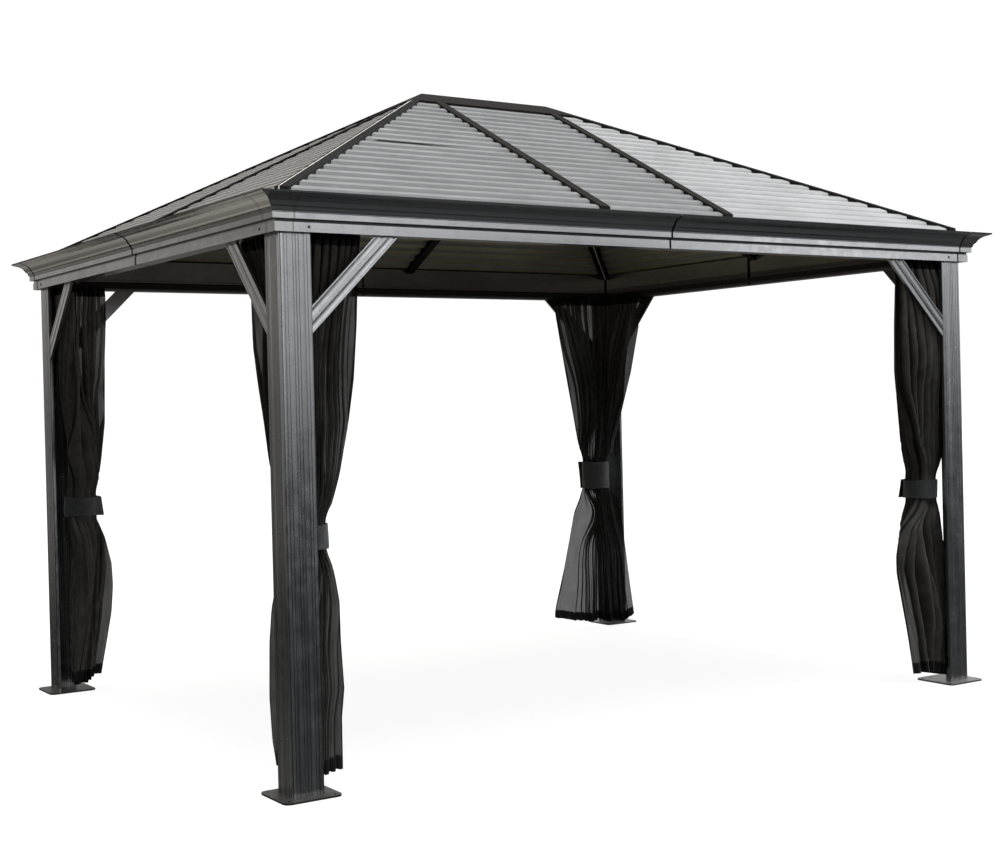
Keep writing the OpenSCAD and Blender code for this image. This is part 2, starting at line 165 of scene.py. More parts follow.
def coat(name, base, metallic, rough, along=(1.0, 1.0, 1.0), streak=0.10, mottle=0.08, peel=0.05, dust=0.0, grooves=(), fold=False, seams=False, shade=None, specular=0.5):
    """Powder coat on an extrusion: fine drawing lines along it, soft mottling, orange peel, dust near the foot."""
    m, g, p, _ = material(name)
    co = object_coords(g)
    lines = g.noise(co, 55.0, 2.0, 0.6, along)
    cloud = g.noise(co, 2.6, 4.0, 0.55)
    tone = g.math("ADD", g.remap(lines, 0.3, 0.7, -streak, streak), g.remap(cloud, 0.3, 0.7, -mottle, mottle))
    dark = tuple(c * 0.72 for c in base)
    light = tuple(min(1.0, c * 1.28) for c in base)
    col = g.mix(g.math("ADD", tone, 0.5, clamp=True), dark, light)
    if dust:
        z = xyz(g, co)[2]
        low = g.remap(z, 0.01, 0.16, 1.0, 0.0, True)
        spots = g.remap(g.noise(co, 38.0, 5.0, 0.65), 0.45, 0.7, 0.0, dust)
        col = g.mix(g.math("MULTIPLY", low, spots), col, (0.30, 0.27, 0.23))
    if shade:
        # painted shade: some lengths are darkened along X for how the light falls on them: place along X, there and
        # there, and the share of tone left
        x0, x1, k0, k1 = shade
        painted_shade_along_x = g.remap(xyz(g, co)[0], x0, x1, k0, k1)
        col = g.mix(1.0, col, painted_shade_along_x, "MULTIPLY")
    if grooves:
        # painted shade in the post's grooves: dark lines along a post, at these distances from its outer corner,
        # stronger towards the foot
        x, y, z = xyz(g, co)
        side = g.remap(g.math("ABSOLUTE", xyz(g, g.add("NewGeometry").outputs["True Normal"])[0]), 0.5, 0.6, 0.0, 1.0)
        dx, dy = g.math("SUBTRACT", 1.700, g.math("ABSOLUTE", x)), g.math("SUBTRACT", 1.355, g.math("ABSOLUTE", y))
        d = g.math("ADD", g.math("MULTIPLY", dx, g.math("SUBTRACT", 1.0, side)), g.math("MULTIPLY", dy, side))
        painted_groove_shade = None
        for at, width in grooves:
            one = g.remap(g.math("ABSOLUTE", g.math("SUBTRACT", d, at)), width * 0.5, width * 0.5 + 0.0006, 1.0, 0.0)
            painted_groove_shade = one if painted_groove_shade is None else g.math("MAXIMUM", painted_groove_shade, one)
        fade = g.remap(z, 0.6, 1.5, 0.95, 0.55)
        col = g.mix(g.math("MULTIPLY", painted_groove_shade, fade), col, tuple(c * 0.16 for c in base))
        # painted highlight along the outer corner on the front faces, and a painted highlight band on the side faces
        # that fades out towards the foot
        edge = g.remap(g.math("ABSOLUTE", g.math("SUBTRACT", d, 0.0072)), 0.0010, 0.0030, 0.42, 0.0)
        painted_side_highlight = g.remap(g.math("ABSOLUTE", g.math("SUBTRACT", d, 0.0150)), 0.0030, 0.0095, 0.55, 0.0, True)
        painted_side_highlight = g.math("MULTIPLY", painted_side_highlight, g.remap(z, 0.75, 1.25, 0.0, 1.0, True))
        col = g.mix(g.blend(side, edge, painted_side_highlight), col, (0.80, 0.80, 0.79))
    if seams:
        # black sealing strips where lengths of cornice meet, and painted shade in the slot along it
        x, y, z = xyz(g, co)
        ax, ay = g.math("ABSOLUTE", x), g.math("ABSOLUTE", y)
        ox, oy = g.math("SUBTRACT", ax, 1.700), g.math("SUBTRACT", ay, 1.355)
        flank = g.math("GREATER_THAN", ox, oy)
        near = g.math("MULTIPLY", g.math("LESS_THAN", x, 0.0), g.math("LESS_THAN", y, 0.0))
        # painted light: the moulding along the sides is made lighter and a little warmer than the flat below it
        above = g.math("MULTIPLY", flank, g.remap(z, 1.926 + 0.064, 1.926 + 0.068, 0.0, 1.0))
        col = g.mix(above, col, g.mix(1.0, col, (1.95, 1.90, 1.78), "MULTIPLY"))
        strip = lambda v, at, half: g.remap(g.math("ABSOLUTE", g.math("SUBTRACT", v, at)), half - 0.0005, half, 1.0, 0.0)
        long_ = strip(g.math("MULTIPLY", y, g.math("SIGN", x)), 0.038, 0.0105)
        short = strip(g.math("MULTIPLY", x, g.math("SIGN", y)), 0.026, 0.0050)
        turns = g.math("MULTIPLY", g.blend(flank, strip(ax, 1.660, 0.0045), strip(ay, 1.315, 0.009)), g.math("SUBTRACT", 1.0, g.math("MULTIPLY", near, 0.8)))
        # painted shade in the slot, weaker on the side lengths
        slot = g.math("MULTIPLY", strip(g.math("SUBTRACT", z, 1.926), 0.038, 0.0048), g.math("LESS_THAN", g.math("MAXIMUM", ox, oy), 0.0255))
        slot = g.math("MULTIPLY", slot, g.remap(flank, 0.0, 1.0, 0.95, 0.2))
        black = g.math("MAXIMUM", g.math("MAXIMUM", g.blend(flank, short, long_), turns), slot)
        col = g.mix(black, col, (0.012, 0.012, 0.012))
    if fold:
        # the cap is folded along the hip, and a painted highlight runs along the crease
        x, y, z = xyz(g, co)
        off = g.math("SUBTRACT", g.math("SUBTRACT", g.math("ABSOLUTE", x), 0.345), g.math("ABSOLUTE", y))
        painted_crease_highlight = g.remap(g.math("ABSOLUTE", g.math("SUBTRACT", off, 0.0015)), 0.0030, 0.0052, 1.0, 0.0)
        painted_crease_highlight = g.math("MULTIPLY", painted_crease_highlight, g.remap(g.noise(co, 9.0, 3.0, 0.6), 0.25, 0.55, 0.6, 1.0))
        painted_crease_highlight = g.math("MULTIPLY", painted_crease_highlight, g.remap(g.math("ABSOLUTE", y), 0.11, 0.16, 0.0, 1.0))
        col = g.mix(painted_crease_highlight, col, (0.88, 0.87, 0.83))
    g.link(col, p.inputs["Base Color"])
    p.inputs["Metallic"].default_value = metallic
    p.inputs["Specular IOR Level"].default_value = specular
    fine = g.noise(co, 24.0, 3.0, 0.6)
    g.link(g.math("ADD", g.remap(fine, 0.3, 0.7, rough - 0.05, rough + 0.05), g.remap(lines, 0.3, 0.7, -0.03, 0.03)), p.inputs["Roughness"])
    if peel:
        g.link(g.bump(g.noise(co, 900.0, 2.0, 0.5), peel, 0.0004), p.inputs["Normal"])
    return m


# ---------------------------------------------------------------- finishes
mat_post = coat("post_finish", (0.42, 0.422, 0.424), 0.88, 0.21, (1.0, 1.0, 0.02), 0.10, 0.05, 0.0, 0.5,
                grooves=((0.0162, 0.0022), (0.0282, 0.0022), (0.0485, 0.0022), (0.0593, 0.0024), (0.0705, 0.0022), (0.0913, 0.0022),
                         (0.1025, 0.0026), (0.1165, 0.0050)))
# the braces get painted shade, darker towards +X
mat_brace = coat("brace_finish", (0.62, 0.622, 0.622), 0.88, 0.21, (1.0, 1.0, 1.0), 0.06, 0.06, 0.0, shade=(0.4, 0.9, 1.0, 0.5))
# the base plates get painted shade, darker towards -X
mat_plate = coat("plate_finish", (0.20, 0.198, 0.185), 0.6, 0.36, (1.0, 1.0, 1.0), 0.06, 0.14, 0.06, 0.3, shade=(-0.6, 0.6, 0.35, 1.0))
# the lengths along X get a slightly cooler grey and those along Y a slightly warmer one: a painted reflection of cooler
# light in front and behind and warmer light on the sides
mat_beam_x = coat("cornice_finish_x", (0.46, 0.462, 0.465), 0.9, 0.19, (0.02, 1.0, 1.0), 0.08, 0.05, 0.0, seams=True)
mat_beam_y = coat("cornice_finish_y", (0.46, 0.456, 0.445), 0.9, 0.19, (1.0, 0.02, 1.0), 0.08, 0.05, 0.0, seams=True)
mat_rail = coat("rail_finish", (0.035, 0.035, 0.036), 0.2, 0.42, (1.0, 1.0, 1.0), 0.05, 0.08, 0.03)
mat_bronze = coat("roof_frame_finish", (0.0145, 0.0135, 0.0115), 0.0, 0.58, (1.0, 1.0, 1.0), 0.08, 0.12, 0.05, specular=0.16)
mat_hip = coat("hip_finish", (0.011, 0.0105, 0.0095), 0.0, 0.58, (1.0, 1.0, 1.0), 0.08, 0.12, 0.05, fold=True, specular=0.16)


def sheet_finish(name, tone, laps=()):
    """Coated roof sheet: painted shade in the valleys, which are a little darker, and olive-grey backing paint
    underneath.
    """
    m, g, p, _ = material(name)
    co = object_coords(g)
    x, y, z = xyz(g, co)
    run = g.math("MAXIMUM", g.math("SUBTRACT", g.math("ABSOLUTE", x), 0.345), g.math("ABSOLUTE", y))
    deep = g.math("SUBTRACT", g.math("SUBTRACT", 2.755, g.math("MULTIPLY", run, 0.4986)), z)
    valley = g.remap(deep, 0.0105, 0.0195, 0.0, 1.0, True)
    cloud = g.noise(co, 3.1, 4.0, 0.6)
    streak = g.noise(co, 34.0, 3.0, 0.6, (1.0, 1.0, 0.15))
    base = g.mix(g.remap(cloud, 0.3, 0.7, 0.0, 1.0), tuple(c * 0.88 for c in tone), tuple(c * 1.1 for c in tone))
    # painted shade: the valleys between the ribs are darkened, in streaks
    base = g.mix(g.math("MULTIPLY", valley, g.remap(streak, 0.3, 0.7, 0.45, 0.7)), base, tuple(c * 0.62 for c in tone))
    # where two lengths of sheet lap: a painted shadow along the edge with a painted highlight on the lip under it (run,
    # x0, x1, strength)
    for at, x0, x1, amount in laps:
        here = g.math("MULTIPLY", g.math("MULTIPLY", g.remap(x, x0, x0 + 0.03, 0.0, 1.0), g.remap(x, x1 - 0.20, x1, amount, 0.0)), g.math("LESS_THAN", y, 0.0))
        lap_highlight = g.remap(g.math("ABSOLUTE", g.math("SUBTRACT", run, at - 0.005)), 0.0022, 0.0034, 1.0, 0.0)
        base = g.mix(g.math("MULTIPLY", lap_highlight, here), base, (0.8, 0.8, 0.79))
        lap_shadow = g.remap(g.math("ABSOLUTE", g.math("SUBTRACT", run, at)), 0.0005, 0.0013, 1.0, 0.0)
        base = g.mix(g.math("MULTIPLY", lap_shadow, here), base, (0.03, 0.03, 0.03))
    nz = xyz(g, g.add("NewGeometry").outputs["True Normal"])[2]
    under = g.remap(nz, -0.35, -0.45, 0.0, 1.0)
    back = g.mix(g.remap(cloud, 0.3, 0.7, 0.0, 1.0), (0.42, 0.385, 0.27), (0.56, 0.51, 0.365))
    g.link(g.mix(under, base, back), p.inputs["Base Color"])
    p.inputs["Metallic"].default_value = 0.55
    g.link(g.math("ADD", g.remap(g.noise(co, 17.0, 4.0, 0.6), 0.3, 0.7, 0.30, 0.40), g.math("MULTIPLY", valley, 0.2)), p.inputs["Roughness"])
    n1 = g.bump(g.noise(co, 4.2, 2.0, 0.4), 0.25, 0.006)
    g.link(g.bump(g.noise(co, 600.0, 2.0, 0.5), 0.04, 0.0005, n1), p.inputs["Normal"])
    return m


mat_sheet = sheet_finish("roof_sheet", (0.53, 0.53, 0.525), laps=(
    (0.7115, -0.99, -0.56, 0.95), (0.739, -0.28, 0.14, 0.45), (1.014, -0.28, 0.02, 0.4)))
# the front right panel gets a much lighter copy of the sheet, painted light, and the left panels a darker, warmer one,
# painted shade
mat_sheet_painted_light = sheet_finish("roof_sheet_painted_light", (0.84, 0.84, 0.83))
mat_sheet_painted_shade_warm = sheet_finish("roof_sheet_painted_shade_warm", (0.47, 0.455, 0.425))


def net_finish(name, thin, thick, tone, more=0.0):
    """Fine black mosquito net, see-through where it is one layer, thicker in the header, hem and side bindings.
    The sheet's own flat coordinates, in metres, are in its attribute "flat"."""
    m, g, p, out = material(name)
    at = g.add("Attribute", attribute_name="flat")
    u, v, w = xyz(g, at.outputs["Vector"])   # across, down from the top, up from the bottom
    side = g.math("MAXIMUM", g.remap(u, 0.016, 0.020, 1.0, 0.0), g.remap(u, 2.980, 2.984, 0.0, 1.0))
    hem = g.remap(w, 0.050, 0.054, 1.0, 0.0)
    head = g.remap(v, 0.040, 0.044, 1.0, 0.0)
    bound = g.math("MAXIMUM", side, g.math("MAXIMUM", hem, head))
    warp = g.math("SINE", g.math("MULTIPLY", u, 2 * math.pi / 0.0024))
    weft = g.math("SINE", g.math("MULTIPLY", v, 2 * math.pi / 0.0024))
    weave = g.math("MAXIMUM", warp, weft)
    cloud = g.noise(at.outputs["Vector"], 7.0, 4.0, 0.6)
    open_ = g.math("ADD", g.remap(weave, -0.2, 1.0, thin, thick), g.remap(cloud, 0.3, 0.7, -0.015, 0.015))
    if more:
        # drawn together more tightly above the tie
        open_ = g.math("MINIMUM", g.math("ADD", open_, g.remap(v, 0.90, 1.08, more, 0.0, True)), 0.985)
    alpha = g.math("MAXIMUM", open_, g.math("MULTIPLY", bound, 0.997))
    stitch = g.math("MULTIPLY", g.remap(g.math("ABSOLUTE", g.math("SUBTRACT", w, 0.046)), 0.0008, 0.0014, 1.0, 0.0),
                    g.remap(g.math("SINE", g.math("MULTIPLY", u, 2 * math.pi / 0.006)), -0.2, 0.2, 0.0, 1.0))
    col = g.mix(g.remap(cloud, 0.3, 0.7, 0.0, 1.0), tuple(c * 0.7 for c in tone), tuple(c * 1.25 for c in tone))
    painted_light_at_top = g.remap(v, 0.10, 0.50, 2.6, 1.0, True)      # painted light: the top of the cloth is made lighter
    col = g.mix(1.0, col, painted_light_at_top, "MULTIPLY")
    col = g.mix(bound, col, (0.009, 0.009, 0.009))
    col = g.mix(stitch, col, (0.05, 0.05, 0.05))
    g.link(col, p.inputs["Base Color"])
    g.link(alpha, p.inputs["Alpha"])
    p.inputs["Roughness"].default_value = 0.75
    p.inputs["Sheen Weight"].default_value = 0.10
    p.inputs["Sheen Roughness"].default_value = 0.4
    p.inputs["Specular IOR Level"].default_value = 0.22
    g.link(g.bump(g.math("ADD", weave, g.math("MULTIPLY", cloud, 2.0)), 0.25, 0.0006), p.inputs["Normal"])
    return m


def strap_finish():
    """Plain-woven black strap with a stitched edge. attribute "flat": along it, up it, both in metres, and its height."""
    m, g, p, _ = material("strap_fabric")
    at = g.add("Attribute", attribute_name="flat")
    u, v, h = xyz(g, at.outputs["Vector"])
    a = g.math("SINE", g.math("MULTIPLY", u, 2 * math.pi / 0.0016))
    b = g.math("SINE", g.math("MULTIPLY", v, 2 * math.pi / 0.0016))
    weave = g.math("MULTIPLY", a, b)
    edge = g.math("MINIMUM", v, g.math("SUBTRACT", h, v))
    stitch = g.math("MULTIPLY", g.remap(g.math("ABSOLUTE", g.math("SUBTRACT", edge, 0.008)), 0.0007, 0.0012, 1.0, 0.0),
                    g.remap(g.math("SINE", g.math("MULTIPLY", u, 2 * math.pi / 0.005)), -0.2, 0.2, 0.0, 1.0))
    cloud = g.noise(at.outputs["Vector"], 30.0, 4.0, 0.6)
    col = g.mix(g.remap(cloud, 0.3, 0.7, 0.0, 1.0), (0.040, 0.040, 0.041), (0.066, 0.066, 0.067))
    col = g.mix(stitch, col, (0.10, 0.10, 0.10))
    g.link(col, p.inputs["Base Color"])
    p.inputs["Roughness"].default_value = 0.55
    p.inputs["Sheen Weight"].default_value = 0.3
    hem = g.remap(edge, 0.006, 0.0095, 1.0, 0.0, True)
    g.link(g.bump(g.math("ADD", g.math("MULTIPLY", weave, 0.3), g.math("ADD", hem, g.math("MULTIPLY", stitch, -1.2))), 0.5, 0.0008), p.inputs["Normal"])
    return m


# the front right and back left nets get lighter copies of the black cloth: painted light
mat_nets = (net_finish("net_fabric", 0.93, 0.985, (0.032, 0.0300, 0.026)), net_finish("net_fabric_painted_light", 0.935, 0.985, (0.070, 0.067, 0.058)),
            net_finish("net_fabric_painted_lighter", 0.935, 0.985, (0.085, 0.082, 0.074)), net_finish("net_fabric_loose", 0.865, 0.925, (0.040, 0.0390, 0.0390), 0.06))
mat_strap = strap_finish()
mat_hook = coat("hook_finish", (0.02, 0.02, 0.02), 0.0, 0.45, (1.0, 1.0, 1.0), 0.05, 0.1, 0.1)
mat_screw = coat("screw_finish", (0.34, 0.34, 0.34), 0.85, 0.30, (1.0, 1.0, 1.0), 0.05, 0.12, 0.05)


def finish_node(name, mat):
    o = nodes[name]
    o.data.materials.clear()
    o.data.materials.append(mat)


for n in nodes:
    if n.startswith("post_"):
        finish_node(n, mat_post)
    elif n == "corner_braces":
        finish_node(n, mat_brace)
    elif n == "base_plates":
        finish_node(n, mat_plate)
    elif n in ("beam_splices", "curtain_rails"):
        finish_node(n, mat_rail)
    elif n.startswith("beam_front") or n.startswith("beam_back"):
        finish_node(n, mat_beam_x)
    elif n.startswith("beam_") or n.startswith("corner_cap"):
        finish_node(n, mat_beam_y)
    elif n.startswith("roof_panel"):
        finish_node(n, mat_sheet_painted_light if n == "roof_panel_front_right" else mat_sheet_painted_shade_warm if n.startswith("roof_panel_left") else mat_sheet)
    elif n.startswith("hip_"):
        finish_node(n, mat_hip)
    elif n.startswith("rafter") or n.startswith("ridge"):
        finish_node(n, mat_bronze)
    else:
        finish_node(n, mat_strap if n == "net_ties" else mat_nets[0])


# ---------------------------------------------------------------- mesh helpers
def piece(name, verts, faces, mat, smooth=True, flat=None):
    me = bpy.data.meshes.new(name)
    me.from_pydata([tuple(map(float, v)) for v in verts], [], [tuple(int(i) for i in f) for f in faces])
    me.validate()
    me.update()
    if flat is not None:
        a = me.attributes.new("flat", "FLOAT_VECTOR", "POINT")
        a.data.foreach_set("vector", np.asarray(flat, np.float32).ravel())
    if smooth:
        me.polygons.foreach_set("use_smooth", [True] * len(me.polygons))
    me.materials.append(mat)
    o = bpy.data.objects.new(name, me)
    scene.collection.objects.link(o)
    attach(o, "root")
    return o


def grid_faces(rows, cols, wrap=False):
    f = []
    for i in range(rows - 1):
        for j in range(cols if wrap else cols - 1):
            k = (j + 1) % cols
            f.append((i * cols + j, i * cols + k, (i + 1) * cols + k, (i + 1) * cols + j))
    return f


def curve(ts, vs, t):
    """Smooth curve through the rows of vs at ts, read at t."""
    ts, vs, t = np.asarray(ts, float), np.asarray(vs, float), np.clip(np.asarray(t, float), ts[0], ts[-1])
    flat = vs.reshape(len(ts), -1)
    d = np.diff(flat, axis=0) / np.diff(ts)[:, None]
    m = np.empty_like(flat)
    m[0], m[-1] = d[0], d[-1]
    h = np.diff(ts)[:, None]
    m[1:-1] = (d[:-1] * h[1:] + d[1:] * h[:-1]) / (h[1:] + h[:-1])
    i = np.clip(np.searchsorted(ts, t, side="right") - 1, 0, len(ts) - 2)
    dt = (ts[i + 1] - ts[i])
    q = ((t - ts[i]) / dt)[..., None]
    dt = dt[..., None]
    out = ((2 * q**3 - 3 * q**2 + 1) * flat[i] + (q**3 - 2 * q**2 + q) * dt * m[i]
           + (-2 * q**3 + 3 * q**2) * flat[i + 1] + (q**3 - q**2) * dt * m[i + 1])
    return out.reshape(t.shape + vs.shape[1:])


# ---------------------------------------------------------------- nets
CORNERS = {"front_left": (0, -1, -1), "front_right": (1, 1, -1), "back_left": (2, -1, 1), "back_right": (3, 1, 1)}
NX, NY = 1.650, 1.305          # where the two net lines of a corner cross
TOP, HALF = 1.934, 0.079
reach_x, reach_y = (0.295, 0.310, 0.245, 0.390), (0.375, 0.300, 0.295, 0.365)
full = (0.75, 0.84, 0.85, 0.5)
tie_x, tie_y = (0.082, 0.089, 0.081, 0.175), (0.084, 0.089, 0.081, 0.097)
tie_low, tie_high = (0.836, 0.846, 0.838, 0.815), (0.921, 0.929, 0.927, 0.971)
belly_x, belly_y = (0.212, 0.310, 0.240, 0.345), (0.290, 0.212, 0.215, 0.215)
foot_x, foot_y = (0.195, 0.235, 0.200, 0.445), (0.260, 0.190, 0.200, 0.250)
FLAT_W, FLAT_H = 3.0, 1.9


# how far the hanging cloth reaches at each height, seen from the camera: (height, reach), in metres, along X or Y
# from the crossing of the two net lines, on a line 30 mm inside the other one; 2 is for a corner, the same way in
# along both. Left edge, right edge; None where a post hides it
EDGES = {
    "front_left": ((1, [(.04, .258), (.115, .285), (.273, .301), (.474, .289), (.596, .265), (.72, .210), (.80, .172), (.96, .172), (1.04, .205), (1.139, .255),
                        (1.271, .288), (1.418, .334), (1.553, .368), (1.715, .374)]),
                   (0, [(.03, .181), (.215, .182), (.317, .194), (.487, .185), (.631, .184), (.723, .169), (.828, .143), (.925, .146),
                        (1.085, .196), (1.265, .235), (1.422, .261), (1.618, .278), (1.736, .284)])),
    "front_right": ((0, [(.017, .224), (.093, .236), (.233, .262), (.373, .293), (.5, .321), (.575, .323), (.709, .295), (.831, .255),
                         (.968, .252), (1.093, .279), (1.293, .296), (1.429, .309), (1.64, .303), (1.82, .292)]),
                    (2, [(.03, .006), (.236, .008), (.463, .012), (.552, .014), (.691, .023), (.819, .032), (.95, .030), (1.084, .010), (1.20, -.008), (1.5, -.020), (2.0, -.024)])),
    "back_left": (None, (0, [(.0, .167), (.075, .18), (.193, .203), (.337, .23), (.47, .241), (.578, .237), (.7, .21), (.83, .17),
                             (.93, .172), (1.102, .2), (1.275, .221), (1.596, .229), (1.77, .239)])),
    "back_right": ((0, [(.06, .442), (.104, .433), (.321, .371), (.501, .326), (.656, .289), (.758, .238), (.982, .222), (1.088, .252),
                        (1.247, .28), (1.431, .315), (1.654, .356), (1.811, .384)]),
                   (1, [(.035, .25), (.228, .214), (.489, .17), (.646, .144), (.788, .062), (.973, .069), (1.056, .083), (1.24, .167),
                        (1.487, .273), (1.757, .357)])),
}


def to_edges(name, sx, sy, xy, z, z_tie, half_tie):
    """Draws a row of the cloth in or out so that its edges, as the camera sees them, reach as far as EDGES has them."""
    w = min(1.0, max(0.0, abs(z - z_tie) - half_tie) / 0.06) * min(1.0, max(0.0, (TOP - z) / 0.13))
    if w <= 0:
        return xy

    def across(a, b):
        x, y, h = sx * (NX - a) - cam.matrix_world[0][3], sy * (NY - b) - cam.matrix_world[1][3], z - cam.matrix_world[2][3]
        return (x * r_ax.x + y * r_ax.y + h * r_ax.z) / (x * fwd.x + y * fwd.y + h * fwd.z)

    left, right = EDGES[name]
    new, grown = xy.copy(), [1.0, 1.0]
    for _ in range(8):
        for edge, way in ((left, -1), (right, 1)):
            if edge is None:
                continue
            axis, tab = edge
            if axis == 2:
                continue
            q = float(np.interp(z, [v[0] for v in tab], [v[1] for v in tab]))
            goal = across(q, 0.03) if axis == 0 else across(0.03, q)
            at = across(new[:, 0], new[:, 1])
            i = int(np.argmax(at * way))
            both = (axis,) if left and right and right[0] != 2 else (0, 1)
            moved = new[i].copy()
            for c in both:
                moved[c] *= 1.001
            slope = (across(moved[0], moved[1]) - at[i]) / 0.001
            step = 1 + float(np.clip((goal - at[i]) / slope, -0.25, 0.25))
            for c in both:
                k = min(1.75, max(0.55, grown[c] * step)) / grown[c]
                new[:, c] *= k
                grown[c] *= k
    if right and right[0] == 2:
        # the corner goes where its own edge shows, and the rest of the row shares the move out evenly
        q = float(np.interp(z, [v[0] for v in right[1]], [v[1] for v in right[1]]))
        at = across(new[:, 0], new[:, 1])
        t = (at - at.min()) / (at.max() - at.min())
        deep = ((sx * (NX - new[:, 0]) - cam.matrix_world[0][3]) * fwd.x + (sy * (NY - new[:, 1]) - cam.matrix_world[1][3]) * fwd.y)
        move = (across(q, q) - at.max()) * t * deep
        new = np.maximum(new - np.stack([sx * rt.x * move, sy * rt.y * move], 1), -0.029)
    return xy + (new - xy) * w


def ell(A, B, e, k):
    """Five places along the net's plan line: along X, round the corner, along Y."""
    return np.array([(A, e), (A * 0.52, e + 0.2 * k), (k, k), (e + 0.2 * k, B * 0.52), (e, B)])


def bundle(cx, cy, r):
    d = r * 0.7071
    return np.array([(cx + d * q, cy - d * q) for q in (1.0, 0.62, 0.0, -0.62, -1.0)])


def net(name):
    k, sx, sy = CORNERS[name]
    rng = np.random.default_rng(40 + k)
    cx, cy = tie_x[k], tie_y[k]
    t0, t1 = tie_low[k] - 0.004, tie_high[k] + 0.004
    f = full[k]
    wide = k == 3

    def lerp(a, b, t):
        return a + (b - a) * t

    def up_pts(t, g):
        A, B = lerp(cx + HALF, reach_x[k] - 0.006, t), lerp(cy + HALF, reach_y[k] - 0.006, t)
        return (1 - g) * bundle(cx, cy, HALF) + g * ell(A, B, 0.006, lerp(0.075, 0.022, g))

    # z, five plan points, the fold height at each, and how much of the cloth each stretch takes
    even, loose = [0, .06, .5, .94, 1], [0, .16, .5, .84, 1]
    wing = [0, .09, .5, .91, 1]
    lv = [
        (TOP, up_pts(1, 1), [.020, .024, .020, .024, .020], even),
        (1.86, up_pts(1, 1), [.022, .028, .026, .028, .022], even),
        (1.70, up_pts(lerp(f, 1, .6), .95), [.024, .034, .040, .034, .024], [0, .08, .5, .92, 1]),
        (1.40, up_pts(f, .72), [.026, .050, .062, .050, .026], [0, .10, .5, .90, 1]),
        (1.12, up_pts(f * f * .65, .32), [.026, .062, .078, .062, .026], [0, .08, .5, .92, 1]),
        (t1, bundle(cx, cy, HALF - .006), [.016, .056, .074, .056, .016], even),
        (t0, bundle(cx, cy, HALF - .006), [.016, .056, .074, .056, .016], even),
    ]
    bx, by, fx, fy = belly_x[k], belly_y[k], foot_x[k], foot_y[k]
    if wide:
        belly = np.array([(bx, .040), (.235, .080), (.130, .110), (.075, .150), (.020, by)])
        foot = np.array([(fx, .020), (.250, .065), (.150, .120), (.070, .155), (.010, fy)])
        lv += [
            (.690, .45 * bundle(cx, cy, HALF) + .55 * belly, [.012, .045, .070, .045, .012], [0, .18, .5, .82, 1]),
            (.480, belly, [.013, .026, .056, .026, .013], wing),
            (.250, .5 * belly + .5 * foot, [.014, .022, .050, .022, .014], wing),
            (.030, foot, [.014, .020, .046, .020, .014], wing)]
    else:
        ex, ey = bx - .02, by - .02
        belly = np.array([(ex, .045), (ex * .70, .055), (.075, .085), (.055, ey * .70), (.045, ey)])
        foot = np.array([(fx - .01, .020), (fx * .6, .035), (.060, .070), (.035, fy * .6), (.020, fy - .01)])
        lv += [
            (.690, .4 * bundle(cx, cy, HALF) + .6 * belly, [.014, .055, .075, .055, .014], [0, .12, .5, .88, 1]),
            (.480, belly, [.012, .048, .070, .048, .012], loose),
            (.250, .5 * belly + .5 * foot, [.010, .040, .060, .040, .010], loose),
            (.030, foot, [.010, .034, .050, .034, .010], loose)]
    lv = lv[::-1]                                   # rising z
    lz = [l[0] for l in lv]
    P, A, V = np.array([l[1] for l in lv]), np.array([l[2] for l in lv]), np.array([l[3] for l in lv])

    pleats, per, rows = (16 if not wide else 19), 14, 74
    cols = pleats * per + 1
    s = np.linspace(0, 1, cols)
    warp = (s + 0.024 * np.sin(2 * np.pi * (1.9 * s + rng.random())) + 0.009 * np.sin(2 * np.pi * (4.3 * s + rng.random()))
            + 0.004 * np.sin(2 * np.pi * (8.7 * s + rng.random())))
    warp = (warp - warp[0]) / (warp[-1] - warp[0])
    # rows: closer together at the tie and hem
    tt = np.concatenate([np.linspace(0, .50, 32, endpoint=False), np.linspace(.50, .60, 12, endpoint=False), np.linspace(.60, 1, 30)])
    zs = TOP - tt * (TOP - .030)
    rand = rng.uniform(0.18, 1.15, (pleats * 2 + 4, 3))
    lift = 0.006 * np.sin(2 * np.pi * (3.1 * s + rng.random())) + (0.034 * (np.clip(1 - s / .10, 0, 1) + np.clip((s - .90) / .10, 0, 1)) if wide else 0.010 * np.cos(4 * np.pi * s))
    lift = lift - lift.min()
    ph = rng.random(8) * 2 * np.pi
    verts, flat = [], []
    for row, (t, z) in enumerate(zip(tt, zs)):
        pts, amp, vk = curve(lz, P, np.array([z]))[0], curve(lz, A, np.array([z]))[0], curve(lz, V, np.array([z]))[0]
        v = curve([0, .06, .5, .94, 1], vk[:, None], s)[:, 0]
        v = np.clip(v, 0, 1)
        base = curve([0, .25, .5, .75, 1], pts, v)
        a = curve([0, .25, .5, .75, 1], amp[:, None], v)[:, 0]
        tang = np.gradient(base, v + np.arange(cols) * 1e-9, axis=0)
        tang /= np.linalg.norm(tang, axis=1)[:, None] + 1e-12
        nrm = np.stack([tang[:, 1], -tang[:, 0]], 1)
        free = min(1.0, abs(z - 0.5 * (t0 + t1)) / 0.30) * min(1.0, max(0.0, (TOP - z) / 0.25))
        drift = free * (0.30 * np.sin(2 * np.pi * (1.7 * s + 0.55 * z) + ph[0]) + 0.16 * np.sin(2 * np.pi * (4.3 * s - 0.8 * z) + ph[1]))
        q = warp * pleats + drift
